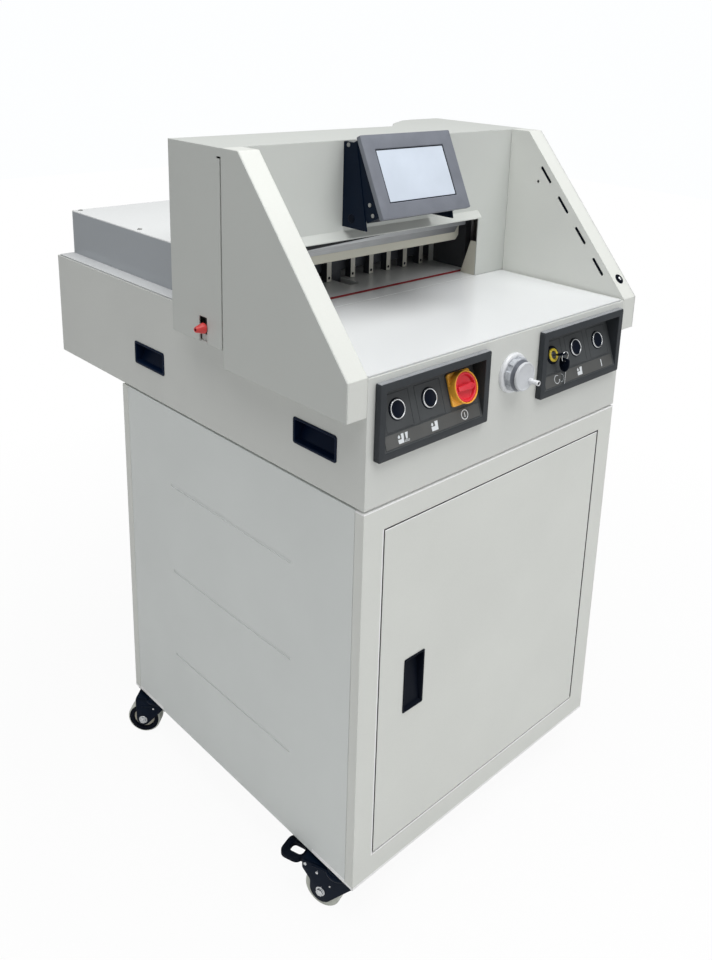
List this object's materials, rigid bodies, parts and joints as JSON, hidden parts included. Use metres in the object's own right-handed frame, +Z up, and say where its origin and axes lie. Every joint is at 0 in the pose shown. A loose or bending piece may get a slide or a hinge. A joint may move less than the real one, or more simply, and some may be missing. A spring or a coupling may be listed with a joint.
{
  "type": "electric paper cutter",
  "caption": "Floor-standing electric paper cutter: cabinet on casters, base with table and control panels, cutting tower with knife, clamp and back gauge between sloping shields, tilted screen",
  "frame": {"origin": "on the floor under the middle of the machine's overall box", "axes": "+Z up, -Y to the operator, +X to the operator's right"},
  "size_m": [0.688, 0.897, 1.1836],
  "materials": {
    "light_paint": "fine-textured light grey powder coat",
    "table_paint": "smooth pale table finish",
    "black_plastic": "matt black moulding",
    "black_paint": "satin black paint",
    "charcoal_plastic": "fine-grained charcoal moulding",
    "navy_plastic": "glossy near-black button",
    "bright_chrome": "bright plated",
    "zinc_steel": "plain ground or plated steel",
    "dark_steel": "dark machine enamel",
    "satin_aluminium": "satin turned aluminium",
    "yellow_plastic": "yellow moulding",
    "red_plastic": "red moulding",
    "red_paint": "red paint",
    "cream_paint": "cream enamel",
    "grey_plastic": "mid grey moulding",
    "pale_tread": "pale tread on a moulded wheel",
    "screen_cover": "clear screen cover over a lit display"
  },
  "bodies": {
    "machine": {"cabinet_frame": "light_paint", "cabinet_side_left": "light_paint", "cabinet_side_right": "light_paint", "cabinet_back": "light_paint", "cabinet_floor": "light_paint", "caster_plates": "black_paint", "base_shell": "light_paint", "grip_cups": "black_plastic", "table": "table_paint", "power_unit": "zinc_steel", "panel_left": "charcoal_plastic", "panel_right": "charcoal_plastic", "button_bezels": "bright_chrome", "switch_base": "yellow_plastic", "lock_ring": "yellow_plastic", "dial_bezel": "satin_aluminium", "tower_cover": "light_paint", "shield_left": "light_paint", "shield_right": "light_paint", "light_bars": "black_plastic", "opening_guards": "cream_paint", "machine_frame": "dark_steel", "knife_motor": "dark_steel", "small_motors": "dark_steel", "rear_cover": "light_paint", "console_bracket": "black_paint", "console_bezel": "grey_plastic", "screen": "screen_cover"},
    "door": {"door": "light_paint", "door_pull": "black_plastic"},
    "knife": {"knife_carrier": "dark_steel", "blade": "zinc_steel"},
    "switch_knob": {"switch_knob": "red_plastic"},
    "key": {"key": "zinc_steel"},
    "spare_key": {"spare_key": "black_plastic"},
    "hand_wheel": {"hand_wheel": "satin_aluminium"},
    "wheel_handle": {"wheel_handle": "bright_chrome"},
    "shield_button": {"shield_button": "black_plastic"},
    "knife_spindle": {"knife_spindle": "zinc_steel"},
    "knife_nut": {"knife_nut": "zinc_steel"},
    "clamp": {"clamp": "cream_paint"},
    "clamp_spindle": {"clamp_spindle": "zinc_steel"},
    "back_gauge": {"back_gauge": "dark_steel"},
    "gauge_spindle": {"gauge_spindle": "zinc_steel"},
    "cutting_stick": {"cutting_stick": "red_plastic"},
    "stick_lever": {"stick_lever": "red_paint"},
    "button_a": {"button_a": "navy_plastic"},
    "button_b": {"button_b": "navy_plastic"},
    "button_c": {"button_c": "navy_plastic"},
    "button_d": {"button_d": "navy_plastic"},
    "fork_fl": {"fork_fl": "black_plastic"},
    "wheel_fl": {"wheel_fl": "pale_tread"},
    "fork_fr": {"fork_fr": "black_plastic"},
    "wheel_fr": {"wheel_fr": "pale_tread"},
    "fork_rl": {"fork_rl": "black_plastic"},
    "wheel_rl": {"wheel_rl": "pale_tread"},
    "fork_rr": {"fork_rr": "black_plastic"},
    "wheel_rr": {"wheel_rr": "pale_tread"},
    "pedal_fl": {"pedal_fl": "black_plastic"},
    "pedal_fr": {"pedal_fr": "black_plastic"}
  },
  "joints": [
    {"name": "door_swing", "type": "hinge", "parent": "machine", "child": "door", "pos_m": [0.2555, -0.402, 0.404], "axis": [0, 0, 1], "range_deg": [0, 95]},
    {"name": "swivel_fl", "type": "hinge", "parent": "machine", "child": "fork_fl", "pos_m": [-0.279, -0.3585, 0.073], "axis": [0, 0, 1], "continuous": true},
    {"name": "roll_fl", "type": "hinge", "parent": "fork_fl", "child": "wheel_fl", "pos_m": [-0.28712, -0.33275, 0.0315], "axis": [-0.9537, -0.3007, 0], "continuous": true},
    {"name": "brake_fl", "type": "hinge", "parent": "fork_fl", "child": "pedal_fl", "pos_m": [-0.29584, -0.30509, 0.07], "axis": [-0.9537, -0.3007, 0], "range_deg": [0, 15]},
    {"name": "swivel_fr", "type": "hinge", "parent": "machine", "child": "fork_fr", "pos_m": [0.279, -0.3585, 0.073], "axis": [0, 0, 1], "continuous": true},
    {"name": "roll_fr", "type": "hinge", "parent": "fork_fr", "child": "wheel_fr", "pos_m": [0.28369, -0.33191, 0.0315], "axis": [-0.9848, 0.1736, 0], "continuous": true},
    {"name": "brake_fr", "type": "hinge", "parent": "fork_fr", "child": "pedal_fr", "pos_m": [0.28872, -0.30335, 0.07], "axis": [-0.9848, 0.1736, 0], "range_deg": [0, 15]},
    {"name": "swivel_rl", "type": "hinge", "parent": "machine", "child": "fork_rl", "pos_m": [-0.279, 0.1755, 0.073], "axis": [0, 0, 1], "continuous": true},
    {"name": "roll_rl", "type": "hinge", "parent": "fork_rl", "child": "wheel_rl", "pos_m": [-0.29635, 0.19618, 0.0315], "axis": [-0.766, -0.6428, 0], "continuous": true},
    {"name": "swivel_rr", "type": "hinge", "parent": "machine", "child": "fork_rr", "pos_m": [0.279, 0.1755, 0.073], "axis": [0, 0, 1], "continuous": true},
    {"name": "roll_rr", "type": "hinge", "parent": "fork_rr", "child": "wheel_rr", "pos_m": [0.29635, 0.19618, 0.0315], "axis": [-0.766, 0.6428, 0], "continuous": true},
    {"name": "press_a", "type": "slide", "parent": "machine", "child": "button_a", "axis": [0, 0.9444, -0.3289], "range_m": [0, 0.003], "stiffness_N_per_m": 400, "springref_m": -0.002},
    {"name": "press_b", "type": "slide", "parent": "machine", "child": "button_b", "axis": [0, 0.9444, -0.3289], "range_m": [0, 0.003], "stiffness_N_per_m": 400, "springref_m": -0.002},
    {"name": "press_c", "type": "slide", "parent": "machine", "child": "button_c", "axis": [0, 0.9444, -0.3289], "range_m": [0, 0.003], "stiffness_N_per_m": 400, "springref_m": -0.002},
    {"name": "press_d", "type": "slide", "parent": "machine", "child": "button_d", "axis": [0, 0.9444, -0.3289], "range_m": [0, 0.003], "stiffness_N_per_m": 400, "springref_m": -0.002},
    {"name": "switch_turn", "type": "hinge", "parent": "machine", "child": "switch_knob", "pos_m": [-0.112, -0.39917, 0.84877], "axis": [0, 0.9444, -0.3289], "range_deg": [0, 90]},
    {"name": "key_turn", "type": "hinge", "parent": "machine", "child": "key", "pos_m": [0.112, -0.39917, 0.84877], "axis": [0, 0.9444, -0.3289], "range_deg": [0, 45]},
    {"name": "spare_hang", "type": "hinge", "parent": "key", "child": "spare_key", "pos_m": [0.112, -0.41919, 0.85574], "axis": [0, 0.9444, -0.3289], "range_deg": [-45, 0]},
    {"name": "dial_turn", "type": "hinge", "parent": "machine", "child": "hand_wheel", "pos_m": [0, -0.4265, 0.8475], "axis": [0, 1, 0], "continuous": true},
    {"name": "handle_spin", "type": "hinge", "parent": "hand_wheel", "child": "wheel_handle", "pos_m": [0.01229, -0.4405, 0.8389], "axis": [0, 1, 0], "continuous": true},
    {"name": "knife_slide", "type": "slide", "parent": "machine", "child": "knife", "axis": [0.158, 0, -0.9874], "range_m": [0, 0.07595]},
    {"name": "nut_slide", "type": "slide", "parent": "machine", "child": "knife_nut", "axis": [0, 0, -1], "range_m": [0, 0.0751]},
    {"name": "knife_spindle_turn", "type": "hinge", "parent": "machine", "child": "knife_spindle", "pos_m": [0.282, -0.0745, 1], "axis": [0, 0, 1], "range_deg": [0, 1351]},
    {"name": "clamp_slide", "type": "slide", "parent": "machine", "child": "clamp", "axis": [0, 0, -1], "range_m": [0, 0.06]},
    {"name": "clamp_spindle_turn", "type": "hinge", "parent": "machine", "child": "clamp_spindle", "pos_m": [0, -0.0445, 1.05], "axis": [0, 0, 1], "range_deg": [0, 2161]},
    {"name": "gauge_slide", "type": "slide", "parent": "machine", "child": "back_gauge", "axis": [0, 1, 0], "range_m": [-0.035, 0.345]},
    {"name": "gauge_spindle_turn", "type": "hinge", "parent": "machine", "child": "gauge_spindle", "pos_m": [0, 0.1535, 0.862], "axis": [0, 1, 0], "range_deg": [-631, 6211]},
    {"name": "lever_tilt", "type": "hinge", "parent": "machine", "child": "stick_lever", "pos_m": [-0.275, -0.0945, 0.888], "axis": [0, 1, 0], "range_deg": [-6, 0]},
    {"name": "stick_lift", "type": "slide", "parent": "machine", "child": "cutting_stick", "axis": [0, 0, -1], "range_m": [-0.00415, 0]},
    {"name": "shield_push", "type": "slide", "parent": "machine", "child": "shield_button", "axis": [0, 0.757, -0.6534], "range_m": [0, 0.0025], "stiffness_N_per_m": 400, "springref_m": -0.002}
  ],
  "couplings": [
    {"joint": "nut_slide", "follows": "knife_slide", "ratio": 0.98744},
    {"joint": "knife_spindle_turn", "follows": "knife_slide", "rad_per_m": 310.21},
    {"joint": "clamp_spindle_turn", "follows": "clamp_slide", "rad_per_m": 628.32},
    {"joint": "gauge_spindle_turn", "follows": "gauge_slide", "rad_per_m": 314.16},
    {"joint": "stick_lift", "follows": "lever_tilt", "m_per_rad": 0.0395},
    {"joint": "spare_hang", "follows": "key_turn", "ratio": -1}
  ]
}
